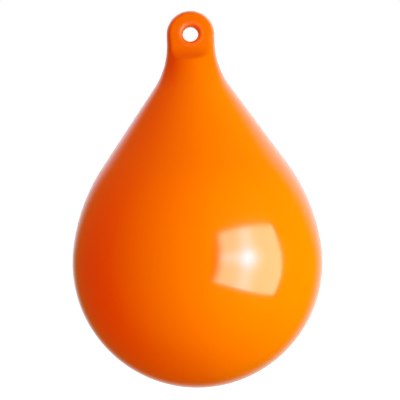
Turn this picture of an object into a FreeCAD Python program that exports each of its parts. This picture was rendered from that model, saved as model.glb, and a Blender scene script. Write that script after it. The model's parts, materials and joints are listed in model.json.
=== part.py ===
import FreeCAD, Part

# Anchor marker buoy: a hollow drop-shaped float with a rope eye in the crowned lug on its neck.
#
# Two plastic half mouldings meet face to face in the plane of the lug.  A tongue on the front half
# runs round the hollow in a groove of the back half, a thin weld bead closes the parting line
# outside, and a plug closes the filling hole at the bottom.
#
# The origin is the centre of the rope eye.  +Z points up, the eye's axis is Y, and the front half
# lies on the -Y side.  All sizes are in millimetres and degrees.

import math
import os
from types import SimpleNamespace

import Sketcher

DIMENSIONS = {
    # the drop
    "float_diameter": 160.0,
    "eye_above_ball": 67.0,
    "shoulder_angle": 8.0,
    "flank_radius": 120.0,
    "neck_radius": 50.0,
    # the lug and its rope eye
    "lug_width": 30.0,
    "lug_thickness": 16.0,
    "lug_draft": 8.0,
    "lug_crown_radius": 90.0,
    "lug_side_length": 5.5,
    "lug_edge_radius": 1.5,
    "eye_diameter": 10.0,
    "eye_rim_radius": 2.5,
    # the scoop that thins the round neck down to the lug
    "lug_face_length": 7.5,
    "scoop_radius": 10.0,
    "scoop_lift": 24.0,
    # the hollow
    "wall": 2.5,
    "crown_radius": 42.0,
    # tongue and groove on the parting face
    "tongue_width": 0.8,
    "tongue_height": 1.5,
    "tongue_clearance": 0.1,
    # weld bead on the parting line
    "bead_width": 1.6,
    "bead_proud": 0.3,
    "bead_depth": 0.6,
    "bead_clearance": 0.05,
    # filling hole and plug
    "plug_head_diameter": 20.0,
    "plug_head_thickness": 1.8,
    "plug_shank_diameter": 14.0,
    "plug_dimple_diameter": 5.0,
    "plug_dimple_depth": 0.6,
    "plug_clearance": 0.1,
    "boss_diameter": 28.0,
    "boss_height": 3.0,
}

SHEET = "Dimensions"

# the ends of a sketch element, and the sketch's own origin and upright axis
START, END, CENTRE = 1, 2, 3
ORIGIN = (-1, START)
UP_AXIS = -2

# how near two lengths, or a direction and an axis, must be to count as the same
SAME = 1e-6


class Size:
    """A length or angle: its number, and the spreadsheet expression that gives that number."""

    def __init__(self, number, expression):
        self.number = number
        self.expression = expression

    def _joined(self, sign, other, number):
        text = other.expression if isinstance(other, Size) else repr(other)
        return Size(number, f"({self.expression} {sign} {text})")

    def __add__(self, other):
        return self._joined("+", other, self.number + number_of(other))

    def __sub__(self, other):
        return self._joined("-", other, self.number - number_of(other))

    def __truediv__(self, other):
        return self._joined("/", other, self.number / number_of(other))

    def __neg__(self):
        return Size(-self.number, f"(-1 * {self.expression})")


def rise(length, angle):
    """How far a line that leans by an angle from upright moves across over a height."""
    number = length.number * math.tan(math.radians(angle.number))
    return Size(number, f"({length.expression} * tan({angle.expression}))")


def number_of(value):
    """The plain number of a Size, or of a number."""
    return value.number if isinstance(value, Size) else value


def fill_sheet(doc):
    """Write every driving dimension to its own named cell, and return them all as sizes."""
    sheet = doc.addObject("Spreadsheet::Sheet", SHEET)
    for row, (name, number) in enumerate(DIMENSIONS.items(), start=1):
        sheet.set(f"A{row}", name)
        sheet.set(f"B{row}", str(number))
        sheet.setAlias(f"B{row}", name)
    doc.recompute()
    sizes = {name: Size(number, f"{SHEET}.{name}") for name, number in DIMENSIONS.items()}
    return SimpleNamespace(**sizes)


# ---------------------------------------------------------------- bodies and sketches


def new_body(doc, name):
    """An empty body whose label is the sub-part's name, standing at the origin."""
    body = doc.addObject("PartDesign::Body", name)
    body.Label = name
    body.Placement = FreeCAD.Placement()
    return body


def origin_plane(body, role):
    """One of the body's own origin planes, found by its role."""
    return next(item for item in body.Origin.OriginFeatures if item.Role == role)


def new_sketch(body, name, role):
    """A sketch on one of the body's origin planes."""
    sketch = body.newObject("Sketcher::SketchObject", name)
    sketch.AttachmentSupport = [(origin_plane(body, role), "")]
    sketch.MapMode = "FlatFace"
    return sketch


def shift_back(sketch, size, turned):
    """Move a sketch's origin backwards along its own X, with its front at -Y if turned."""
    if turned:
        half_turn = FreeCAD.Rotation(FreeCAD.Vector(0, 1, 0), 180)
        sketch.AttachmentOffset = FreeCAD.Placement(FreeCAD.Vector(0, 0, 0), half_turn)
    shift = size if turned else -size
    sketch.setExpression("AttachmentOffset.Base.x", shift.expression)


def bind(sketch, name, size, kind, *places):
    """Add a named dimension to a sketch and tie it to the spreadsheet."""
    number = math.radians(size.number) if kind == "Angle" else size.number
    index = sketch.addConstraint(Sketcher.Constraint(kind, *places, number))
    sketch.renameConstraint(index, name)
    sketch.setExpression(f"Constraints.{name}", size.expression)


def fix(sketch, kind, *places):
    """Add a constraint that has no size of its own."""
    sketch.addConstraint(Sketcher.Constraint(kind, *places))


def add_arc(sketch, centre, radius, first, last, construction=False):
    """Add an arc that runs anticlockwise from one angle to another, in radians."""
    middle = FreeCAD.Vector(centre[0], centre[1], 0)
    circle = Part.Circle(middle, FreeCAD.Vector(0, 0, 1), radius)
    return sketch.addGeometry(Part.ArcOfCircle(circle, first, last), construction)


def add_line(sketch, start, end, construction=False):
    """Add a straight line between two points."""
    first = FreeCAD.Vector(start[0], start[1], 0)
    last = FreeCAD.Vector(end[0], end[1], 0)
    return sketch.addGeometry(Part.LineSegment(first, last), construction)


# ---------------------------------------------------------------- the drop's outline


def along(centre, radius, angle):
    """The point at an angle on a circle."""
    return (centre[0] + radius * math.cos(angle), centre[1] + radius * math.sin(angle))


def outline_start(d):
    """Where the outline's circles lie and how steep its cone is: a sketch's starting place."""
    ball_radius = d.float_diameter.number / 2
    ball = (0.0, -(ball_radius + d.eye_above_ball.number))
    shoulder = math.radians(d.shoulder_angle.number)
    flank = along(ball, ball_radius - d.flank_radius.number, shoulder)
    neck = (d.lug_width.number / 2 + d.neck_radius.number, -d.lug_side_length.number)
    apart = math.dist(neck, flank)
    heading = math.atan2(neck[1] - flank[1], neck[0] - flank[0])
    cone = heading - math.acos((d.flank_radius.number + d.neck_radius.number) / apart)
    return SimpleNamespace(ball=ball, flank=flank, neck=neck, shoulder=shoulder, cone=cone)


def draw_ball_to_cone(sketch, d, grow, tag, guide=False):
    """Draw ball, flank and cone, moved outward by `grow`, each tangent to the next.

    The ball's shoulder angle sets where the flank starts.  A guide is construction geometry.
    """
    at = outline_start(d)
    eye_height = d.float_diameter / 2 + d.eye_above_ball
    ball_radius = d.float_diameter / 2 + grow
    flank_radius = d.flank_radius + grow
    ball_end = along(at.ball, ball_radius.number, at.shoulder)
    cone_foot = along(at.flank, flank_radius.number, at.cone)
    cone_head = along(at.neck, d.neck_radius.number - number_of(grow), math.pi + at.cone)

    ball = add_arc(sketch, at.ball, ball_radius.number, -math.pi / 2, at.shoulder, guide)
    flank = add_arc(sketch, at.flank, flank_radius.number, at.shoulder, at.cone, guide)
    cone = add_line(sketch, cone_foot, cone_head, guide)
    spoke = add_line(sketch, at.ball, ball_end, True)
    fix(sketch, "PointOnObject", ball, CENTRE, UP_AXIS)
    fix(sketch, "PointOnObject", ball, START, UP_AXIS)
    bind(sketch, f"{tag}_eye_height", eye_height, "DistanceY", ball, CENTRE, *ORIGIN)
    bind(sketch, f"{tag}_ball_radius", ball_radius, "Radius", ball)
    fix(sketch, "Coincident", spoke, START, ball, CENTRE)
    fix(sketch, "Coincident", spoke, END, ball, END)
    bind(sketch, f"{tag}_shoulder", d.shoulder_angle, "Angle", spoke)
    fix(sketch, "Tangent", ball, END, flank, START)
    bind(sketch, f"{tag}_flank_radius", flank_radius, "Radius", flank)
    fix(sketch, "Tangent", flank, END, cone, START)
    bottom = along(at.ball, ball_radius.number, -math.pi / 2)
    return SimpleNamespace(ball=ball, cone=cone, at=at, bottom=bottom, cone_foot=cone_foot)


def place_neck(sketch, d, neck, neck_radius, tag):
    """Give a neck arc or circle its radius, and its centre level with the foot of the lug's side."""
    bind(sketch, f"{tag}_neck_radius", neck_radius, "Radius", neck)
    across = d.lug_width / 2 + d.neck_radius
    bind(sketch, f"{tag}_neck_across", across, "DistanceX", *ORIGIN, neck, CENTRE)
    bind(sketch, f"{tag}_neck_down", d.lug_side_length, "DistanceY", neck, CENTRE, *ORIGIN)


def guide_neck(sketch, d, grow, tag, run):
    """Lay a construction circle for the neck against the cone, to give the cone its slope."""
    neck_radius = d.neck_radius - grow
    middle = FreeCAD.Vector(run.at.neck[0], run.at.neck[1], 0)
    circle = Part.Circle(middle, FreeCAD.Vector(0, 0, 1), neck_radius.number)
    neck = sketch.addGeometry(circle, True)
    place_neck(sketch, d, neck, neck_radius, tag)
    fix(sketch, "Tangent", run.cone, neck)


def draw_outside(sketch, d, grow, tag):
    """Draw the right half of the whole outline, from the bottom up to the top of the lug."""
    run = draw_ball_to_cone(sketch, d, grow, tag)
    neck_radius = d.neck_radius - grow
    lug_radius = d.lug_width / 2 + grow
    side_foot = (lug_radius.number, -d.lug_side_length.number)
    neck = add_arc(sketch, run.at.neck, neck_radius.number, math.pi, math.pi + run.at.cone)
    side = add_line(sketch, side_foot, (lug_radius.number, 0))
    top = add_arc(sketch, (0, 0), lug_radius.number, 0, math.pi / 2)
    place_neck(sketch, d, neck, neck_radius, tag)
    fix(sketch, "Tangent", run.cone, END, neck, END)
    fix(sketch, "Tangent", neck, START, side, START)
    fix(sketch, "Vertical", side)
    fix(sketch, "Tangent", side, END, top, START)
    fix(sketch, "Coincident", top, CENTRE, *ORIGIN)
    fix(sketch, "PointOnObject", top, END, UP_AXIS)
    return SimpleNamespace(first=run.ball, last=top, bottom=run.bottom, top=(0.0, lug_radius.number))


def draw_hollow(sketch, d, grow, tag):
    """Draw the right half of the hollow's outline, grown outward, with its rounded crown."""
    inward = -d.wall + grow
    run = draw_ball_to_cone(sketch, d, inward, tag)
    guide_neck(sketch, d, inward, tag, run)
    crown_radius = d.crown_radius + grow
    slope = run.at.cone
    reach = run.cone_foot[0] * math.cos(slope) + run.cone_foot[1] * math.sin(slope)
    centre = (0.0, (reach - crown_radius.number) / math.sin(slope))
    crown = add_arc(sketch, centre, crown_radius.number, slope, math.pi / 2)
    fix(sketch, "Tangent", run.cone, END, crown, START)
    fix(sketch, "PointOnObject", crown, CENTRE, UP_AXIS)
    fix(sketch, "PointOnObject", crown, END, UP_AXIS)
    bind(sketch, f"{tag}_crown_radius", crown_radius, "Radius", crown)
    top = along(centre, crown_radius.number, math.pi / 2)
    return SimpleNamespace(first=run.ball, last=crown, bottom=run.bottom, top=top)


def join(sketch, start, start_place, end, end_place):
    """Draw a straight line from one element's end to another's."""
    line = add_line(sketch, start_place[1], end_place[1])
    fix(sketch, "Coincident", line, START, start, start_place[0])
    fix(sketch, "Coincident", line, END, end, end_place[0])


def close_on_axis(sketch, half):
    """Close a half outline with a line down the axis."""
    join(sketch, half.last, (END, half.top), half.first, (START, half.bottom))


def close_band(sketch, outer, inner):
    """Close two half outlines into one band, with a short line on the axis at each end."""
    join(sketch, outer.last, (END, outer.top), inner.last, (END, inner.top))
    join(sketch, outer.first, (START, outer.bottom), inner.first, (START, inner.bottom))


# ---------------------------------------------------------------- features


def revolve(body, sketch, kind, name, angle=360, backwards=False, both_ways=False):
    """Turn a sketch about its upright axis: a Revolution adds material and a Groove takes it away."""
    feature = body.newObject(f"PartDesign::{kind}", name)
    feature.Profile = sketch
    feature.ReferenceAxis = (sketch, ["V_Axis"])
    feature.Angle = angle
    feature.Reversed = backwards
    feature.Midplane = both_ways
    body.Document.recompute()
    return feature


def extrude(body, sketch, kind, name, length=None, backwards=False, both_ways=False):
    """Pad or Pocket a sketch by a size, or right through when no length is given."""
    feature = body.newObject(f"PartDesign::{kind}", name)
    feature.Profile = sketch
    feature.Reversed = backwards
    if both_ways:
        feature.SideType = "Symmetric"
    if length is None:
        feature.Type = "ThroughAll"
    else:
        feature.setExpression("Length", length.expression)
    body.Document.recompute()
    return feature


def mirror_left(body, feature, name):
    """Repeat a feature on the other side of the YZ plane."""
    mirrored = body.newObject("PartDesign::Mirrored", name)
    mirrored.Originals = [feature]
    mirrored.MirrorPlane = (origin_plane(body, "YZ_Plane"), [""])
    body.Tip = mirrored
    body.Document.recompute()


def round_edges(body, feature, edges, radius, name):
    """Round the listed edges of a feature."""
    fillet = body.newObject("PartDesign::Fillet", name)
    fillet.Base = (feature, edges)
    fillet.setExpression("Radius", radius.expression)
    body.Document.recompute()


def band(body, d, name, draw, outer, inner, kind, length, **direction):
    """Pad or Pocket the band between two outlines, on the right and again on the left."""
    sketch = new_sketch(body, f"{name}_outline", "XZ_Plane")
    close_band(sketch, draw(sketch, d, outer, "outer"), draw(sketch, d, inner, "inner"))
    right = extrude(body, sketch, kind, f"{name}_right", length, **direction)
    mirror_left(body, right, f"{name}_left")


def draw_stack(sketch, d, name, steps):
    """Draw a stepped round profile on the axis, from (radius, height) pairs above the bottom.

    Each pair is one step's outer radius and the height where it ends.  The first height is where
    the stack starts.
    """
    bottom = -(d.float_diameter + d.eye_above_ball)
    start, steps = steps[0], steps[1:]
    corners = [(0.0, (bottom + start).number)]
    for radius, height in steps:
        corners.append((radius.number, corners[-1][1]))
        corners.append((radius.number, (bottom + height).number))
    corners.append((0.0, corners[-1][1]))
    lines = [add_line(sketch, here, after) for here, after in zip(corners, corners[1:] + corners[:1])]
    for here, after in zip(lines, lines[1:] + lines[:1]):
        fix(sketch, "Coincident", here, END, after, START)
    for index, line in enumerate(lines[:-1]):
        fix(sketch, "Vertical" if index % 2 else "Horizontal", line)
    fix(sketch, "PointOnObject", lines[0], START, UP_AXIS)
    fix(sketch, "PointOnObject", lines[-1], START, UP_AXIS)
    bind(sketch, f"{name}_start", -(bottom + start), "DistanceY", lines[0], START, *ORIGIN)
    for step, (radius, height) in enumerate(steps):
        riser = lines[1 + 2 * step]
        bind(sketch, f"{name}_radius_{step}", radius, "DistanceX", *ORIGIN, riser, START)
        bind(sketch, f"{name}_height_{step}", -(bottom + height), "DistanceY", riser, END, *ORIGIN)


# ---------------------------------------------------------------- the two halves


def scoop_neck(body, d, turned):
    """Thin the round neck to the lug, whose faces are gently crowned, and round the edges left.

    The scoop is turned about an upright axis behind the parting face, so that the lug's face
    bulges a little in its middle.  The sketch's own origin lies on that axis.  The face leans in
    towards the top by the mould's draft, and the lug has its stated thickness at the rope eye.
    """
    sketch = new_sketch(body, "scoop_outline", "YZ_Plane")
    shift_back(sketch, d.lug_crown_radius - d.lug_thickness / 2, turned)
    run = draw_ball_to_cone(sketch, d, 0, "guide", guide=True)
    guide_neck(sketch, d, 0, "guide", run)
    reach = d.lug_crown_radius + d.float_diameter / 2
    slope = run.at.cone + math.radians(d.scoop_lift.number)
    outside = reach.number
    above = d.lug_width.number
    draft = math.radians(d.lug_draft.number)
    head = d.lug_crown_radius - rise(d.lug_width, d.lug_draft)
    foot = d.lug_crown_radius + rise(d.lug_face_length, d.lug_draft)
    arc_start = (foot.number, -d.lug_face_length.number)
    arc_centre = along(arc_start, d.scoop_radius.number, draft)
    arc_end = along(arc_centre, d.scoop_radius.number, math.pi + slope)
    slope_foot = (outside, arc_end[1] - (outside - arc_end[0]) / math.tan(slope))

    flat = add_line(sketch, (head.number, above), arc_start)
    arc = add_arc(sketch, arc_centre, d.scoop_radius.number, math.pi + draft, math.pi + slope)
    ramp = add_line(sketch, slope_foot, arc_end)
    outer = add_line(sketch, slope_foot, (outside, above))
    lid = add_line(sketch, (outside, above), (head.number, above))
    fix(sketch, "Tangent", flat, END, arc, START)
    fix(sketch, "Tangent", arc, END, ramp, END)
    fix(sketch, "Coincident", ramp, START, outer, START)
    fix(sketch, "Vertical", outer)
    fix(sketch, "Coincident", outer, END, lid, START)
    fix(sketch, "Horizontal", lid)
    fix(sketch, "Coincident", lid, END, flat, START)
    bind(sketch, "head", head, "DistanceX", *ORIGIN, flat, START)
    bind(sketch, "foot", foot, "DistanceX", *ORIGIN, flat, END)
    bind(sketch, "lug_face_length", d.lug_face_length, "DistanceY", flat, END, *ORIGIN)
    bind(sketch, "scoop_radius", d.scoop_radius, "Radius", arc)
    bind(sketch, "scoop_lift", d.scoop_lift, "Angle", run.cone, ramp)
    bind(sketch, "reach", reach, "DistanceX", *ORIGIN, outer, START)
    bind(sketch, "above", d.lug_width, "DistanceY", *ORIGIN, lid, START)
    scoop = revolve(body, sketch, "Groove", "scoop", 180, both_ways=True)
    round_edges(body, scoop, scoop_edges(scoop.Shape), d.lug_edge_radius, "lug_edges")


def is_scooped(face):
    """Whether a face is turned about the upright axis of the lug's crown, not the drop's own."""
    surface = face.Surface
    turned = isinstance(surface, (Part.Cylinder, Part.Cone, Part.Toroid))
    return turned and abs(surface.Axis.z) > 1 - SAME and abs(surface.Center.y) > SAME


def scoop_edges(shape):
    """The names of the edges where the scooped faces meet the round neck and lug."""
    owners = {}
    for face in filter(is_scooped, shape.Faces):
        for edge in face.Edges:
            owners[edge.hashCode()] = owners.get(edge.hashCode(), 0) + 1
    return edge_names(shape, [code for code, count in owners.items() if count == 1])


def rim_edges(shape, d):
    """The names of the edges where the rope eye breaks out of the lug's outer face."""
    codes = []
    for face in shape.Faces:
        surface = face.Surface
        if not isinstance(surface, Part.Cylinder) or abs(surface.Axis.y) < 1 - SAME:
            continue
        for edge in face.Edges:
            nearest = min(abs(edge.BoundBox.YMin), abs(edge.BoundBox.YMax))
            if nearest > d.eye_rim_radius.number:
                codes.append(edge.hashCode())
    return edge_names(shape, codes)


def edge_names(shape, codes):
    """The names of a shape's edges that have these codes."""
    numbered = enumerate(shape.Edges, start=1)
    return [f"Edge{number}" for number, edge in numbered if edge.hashCode() in codes]


def drill_eye(body, d, backwards):
    """Drill the half's share of the rope eye and round its rim."""
    sketch = new_sketch(body, "eye_outline", "XZ_Plane")
    circle = Part.Circle(FreeCAD.Vector(), FreeCAD.Vector(0, 0, 1), d.eye_diameter.number / 2)
    eye = sketch.addGeometry(circle)
    fix(sketch, "Coincident", eye, CENTRE, *ORIGIN)
    bind(sketch, "eye_diameter", d.eye_diameter, "Diameter", eye)
    pocket = extrude(body, sketch, "Pocket", "rope_eye", backwards=backwards)
    round_edges(body, pocket, rim_edges(pocket.Shape, d), d.eye_rim_radius, "eye_rim")


def seat_plug(body, d):
    """Cut the stepped seat of the plug's head and shank, with clearance all round the sides."""
    sketch = new_sketch(body, "plug_seat_outline", "XZ_Plane")
    head = d.plug_head_diameter / 2 + d.plug_clearance
    shank = d.plug_shank_diameter / 2 + d.plug_clearance
    boss_top = d.wall + d.boss_height
    draw_stack(sketch, d, "seat", [-d.wall, (head, d.plug_head_thickness), (shank, boss_top + d.wall)])
    revolve(body, sketch, "Groove", "plug_seat")


def half_shell(doc, d, name, front):
    """One half moulding: the front one, at -Y, carries the tongue, and the back one its groove."""
    body = new_body(doc, name)
    outside = new_sketch(body, "outside_outline", "XZ_Plane")
    close_on_axis(outside, draw_outside(outside, d, 0, "outside"))
    revolve(body, outside, "Revolution", "outside", 180, backwards=front)
    scoop_neck(body, d, turned=front)
    drill_eye(body, d, backwards=front)

    hollow = new_sketch(body, "hollow_outline", "XZ_Plane")
    close_on_axis(hollow, draw_hollow(hollow, d, 0, "hollow"))
    revolve(body, hollow, "Groove", "hollow", 180, backwards=front)

    boss = new_sketch(body, "boss_outline", "XZ_Plane")
    draw_stack(boss, d, "boss", [d.wall / 2, (d.boss_diameter / 2, d.wall + d.boss_height)])
    revolve(body, boss, "Revolution", "plug_boss", 180, backwards=front)

    middle = (d.wall - d.tongue_width) / 2
    slack = d.tongue_clearance
    if front:
        tongue = (middle + d.tongue_width, middle)
        band(body, d, "tongue", draw_hollow, *tongue, "Pad", d.tongue_height, backwards=True)
    else:
        slot = (middle + d.tongue_width + slack, middle - slack)
        band(body, d, "tongue_slot", draw_hollow, *slot, "Pocket", d.tongue_height + slack)

    seat = (d.bead_proud, -(d.bead_depth + d.bead_clearance))
    depth = d.bead_width / 2 + d.bead_clearance
    band(body, d, "bead_seat", draw_outside, *seat, "Pocket", depth, backwards=front)
    seat_plug(body, d)
    return body


# ---------------------------------------------------------------- bead and plug


def seam_bead(doc, d):
    """The weld bead that runs round the outline in both halves' seats, and stops at the plug."""
    body = new_body(doc, "seam_bead")
    band(body, d, "bead", draw_outside, d.bead_proud, -d.bead_depth, "Pad", d.bead_width, both_ways=True)
    gap = new_sketch(body, "plug_gap_outline", "XZ_Plane")
    radius = d.plug_head_diameter / 2 + d.plug_clearance
    draw_stack(gap, d, "gap", [-d.wall, (radius, d.wall + d.plug_head_thickness)])
    revolve(body, gap, "Groove", "plug_gap")
    return body


def filler_plug(doc, d):
    """The plug that closes the filling hole: a head flush with the ball, a shank and a dimple."""
    body = new_body(doc, "filler_plug")
    blank = new_sketch(body, "plug_outline", "XZ_Plane")
    head = (d.plug_head_diameter / 2, d.plug_head_thickness)
    shank = (d.plug_shank_diameter / 2, d.wall + d.boss_height)
    draw_stack(blank, d, "plug", [-d.wall, head, shank])
    revolve(body, blank, "Revolution", "plug_blank")
    trim_to_ball(body, d)
    dimple = new_sketch(body, "dimple_outline", "XZ_Plane")
    draw_stack(dimple, d, "dimple", [-d.wall, (d.plug_dimple_diameter / 2, d.plug_dimple_depth)])
    revolve(body, dimple, "Groove", "dimple")
    return body


def trim_to_ball(body, d):
    """Turn off what stands out of the ball, so that the plug's head lies flush with it."""
    sketch = new_sketch(body, "flush_outline", "XZ_Plane")
    radius = d.float_diameter / 2
    low = -(d.float_diameter + d.eye_above_ball + d.wall + d.wall)
    centre = (0.0, -(radius + d.eye_above_ball).number)
    edge = (radius.number, centre[1])
    arc = add_arc(sketch, centre, radius.number, -math.pi / 2, 0)
    side = add_line(sketch, edge, (radius.number, low.number))
    floor = add_line(sketch, (radius.number, low.number), (0.0, low.number))
    axis = add_line(sketch, (0.0, low.number), along(centre, radius.number, -math.pi / 2))
    fix(sketch, "PointOnObject", arc, CENTRE, UP_AXIS)
    fix(sketch, "PointOnObject", arc, START, UP_AXIS)
    fix(sketch, "Tangent", arc, END, side, START)
    fix(sketch, "Vertical", side)
    fix(sketch, "Coincident", side, END, floor, START)
    fix(sketch, "Horizontal", floor)
    fix(sketch, "Coincident", floor, END, axis, START)
    fix(sketch, "Coincident", axis, END, arc, START)
    fix(sketch, "Vertical", axis)
    bind(sketch, "ball_radius", radius, "Radius", arc)
    bind(sketch, "eye_height", radius + d.eye_above_ball, "DistanceY", arc, CENTRE, *ORIGIN)
    bind(sketch, "low", -low, "DistanceY", floor, END, *ORIGIN)
    revolve(body, sketch, "Groove", "flush_head")


def check(doc, nodes):
    """Stop if any object failed to compute, or any sub-part's shape is missing or invalid."""
    for item in doc.Objects:
        if "Invalid" in item.State or "Error" in item.State:
            raise RuntimeError(f"{item.Label} did not compute: {item.State}")
    for node in nodes:
        if node.Shape.isNull() or not node.Shape.isValid():
            raise RuntimeError(f"{node.Label} has no valid shape")


def main():
    """Build the buoy and write each sub-part to its own file."""
    doc = FreeCAD.newDocument("anchor_marker_buoy")
    d = fill_sheet(doc)
    nodes = [
        half_shell(doc, d, "front_half_shell", front=True),
        half_shell(doc, d, "back_half_shell", front=False),
        seam_bead(doc, d),
        filler_plug(doc, d),
    ]
    doc.recompute()
    check(doc, nodes)
    os.makedirs("parts", exist_ok=True)
    for node in nodes:
        node.Shape.exportStep(f"parts/{node.Label}.step")
        print(f"{node.Label}: {len(node.Shape.Solids)} solid, {node.Shape.Volume / 1000:.2f} cm3")


main()
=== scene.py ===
"""The finish and the studio of an anchor marker buoy.

A drop-shaped float of glossy orange plastic, moulded in two halves, with a rope eye in the tapered
lug on its neck. The origin is the centre of the rope eye, +Z points up and the eye's axis is Y. All
lengths are in metres and all angles in radians, unless a name says otherwise.
"""

import json
import logging
import math
from dataclasses import dataclass, field
from enum import Enum
from typing import Iterable

import bmesh
import bpy
import numpy as np
from mathutils import Matrix, Vector
from mathutils.geometry import tessellate_polygon

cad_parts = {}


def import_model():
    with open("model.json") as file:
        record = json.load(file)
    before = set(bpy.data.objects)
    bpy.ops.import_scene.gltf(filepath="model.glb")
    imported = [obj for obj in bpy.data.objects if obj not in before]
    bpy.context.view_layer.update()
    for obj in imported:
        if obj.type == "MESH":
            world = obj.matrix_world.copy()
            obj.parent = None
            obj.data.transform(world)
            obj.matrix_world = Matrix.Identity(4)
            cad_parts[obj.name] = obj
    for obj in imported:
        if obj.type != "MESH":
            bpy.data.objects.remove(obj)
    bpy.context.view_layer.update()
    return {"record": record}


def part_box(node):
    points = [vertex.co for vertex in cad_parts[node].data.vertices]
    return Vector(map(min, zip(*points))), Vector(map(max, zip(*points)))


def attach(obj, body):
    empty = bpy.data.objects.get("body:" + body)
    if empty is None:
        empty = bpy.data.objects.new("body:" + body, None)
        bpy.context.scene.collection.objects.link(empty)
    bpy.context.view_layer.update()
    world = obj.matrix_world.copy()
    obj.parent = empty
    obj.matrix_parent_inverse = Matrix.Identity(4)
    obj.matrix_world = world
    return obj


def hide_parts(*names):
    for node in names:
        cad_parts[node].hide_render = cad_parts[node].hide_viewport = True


LOG = logging.getLogger("anchor_marker_buoy")

Triple = tuple[float, float, float]
Colour = Triple
Pair = tuple[float, float]
Place = Pair
Socket = bpy.types.NodeSocket

# The longest step along each piece of the outside, from the ball up to the lug, and of the hollow.
OUTSIDE_STEPS = (0.0016, 0.0014, 0.0010, 0.0007, 0.0005, 0.0004)
HOLLOW_STEPS = (0.004, 0.004, 0.005, 0.003)

# How near two points weld into one, and how short an edge counts as none.
WELD_DISTANCE = 1e-6
NO_LENGTH = 1e-7

# How strong the finer layers of every noise are beside its coarser ones.
NOISE_ROUGHNESS = 0.55


class Side(Enum):
    """Which half of the float a moulding makes, by the sign of its Y."""

    FRONT = -1
    BACK = 1


# ------------------------------------------------------------------------------ outline


@dataclass(frozen=True)
class Arc:
    """A piece of the outline that bends evenly round a centre."""

    centre: Place
    radius: float
    first: float
    last: float
    outward: int = 1

    @property
    def length(self) -> float:
        """The arc's length."""
        return abs(self.last - self.first) * self.radius

    def at(self, share: np.ndarray) -> tuple[np.ndarray, np.ndarray]:
        """Points and outward normals at shares of the way along the arc.

        Args:
            share: Values from 0 at the arc's start to 1 at its end.

        Returns:
            The (x, z) points and their outward unit normals.
        """
        angle = self.first + (self.last - self.first) * share
        ray = np.stack([np.cos(angle), np.sin(angle)], axis=1)
        return np.array(self.centre) + self.radius * ray, self.outward * ray


@dataclass(frozen=True)
class Line:
    """A straight piece of the outline."""

    start: Place
    end: Place

    @property
    def length(self) -> float:
        """The line's length."""
        return math.dist(self.start, self.end)

    def at(self, share: np.ndarray) -> tuple[np.ndarray, np.ndarray]:
        """Points and outward normals at shares of the way along the line.

        Args:
            share: Values from 0 at the line's start to 1 at its end.

        Returns:
            The (x, z) points and their outward unit normals, to the right of an upward line.
        """
        start, end = np.array(self.start), np.array(self.end)
        along = (end - start) / self.length
        normal = np.array([along[1], -along[0]])
        return start + np.outer(share, end - start), np.tile(normal, (len(share), 1))


def sample(pieces: list[Arc | Line], steps: tuple[float, ...]) -> tuple[np.ndarray, np.ndarray]:
    """Walk along joined pieces of outline and note points at about even steps.

    Args:
        pieces: Arcs and lines, each starting where the last one ends.
        steps: The longest step allowed on each piece.

    Returns:
        The (x, z) points and their outward unit normals, from the first piece's start to the
        last one's end, with each joint once.
    """
    points, normals = [], []
    for index, (piece, step) in enumerate(zip(pieces, steps)):
        count = max(2, math.ceil(piece.length / step))
        share = np.linspace(0.0, 1.0, count + 1)[(1 if index else 0):]
        place, normal = piece.at(share)
        points.append(place)
        normals.append(normal)
    return np.concatenate(points), np.concatenate(normals)


def soft_least(a: np.ndarray, b: np.ndarray, blend: np.ndarray | float) -> np.ndarray:
    """The lesser of two lengths, rounded off where they are close, by up to a sixth of the blend.

    Args:
        a: The first lengths.
        b: The second lengths.
        blend: How close the two come before the corner between them is rounded.

    Returns:
        The blended lengths, never more than the lesser of the two.
    """
    near = np.maximum(blend - np.abs(a - b), 0.0) / blend
    return np.minimum(a, b) - near**3 * blend / 6.0


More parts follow.
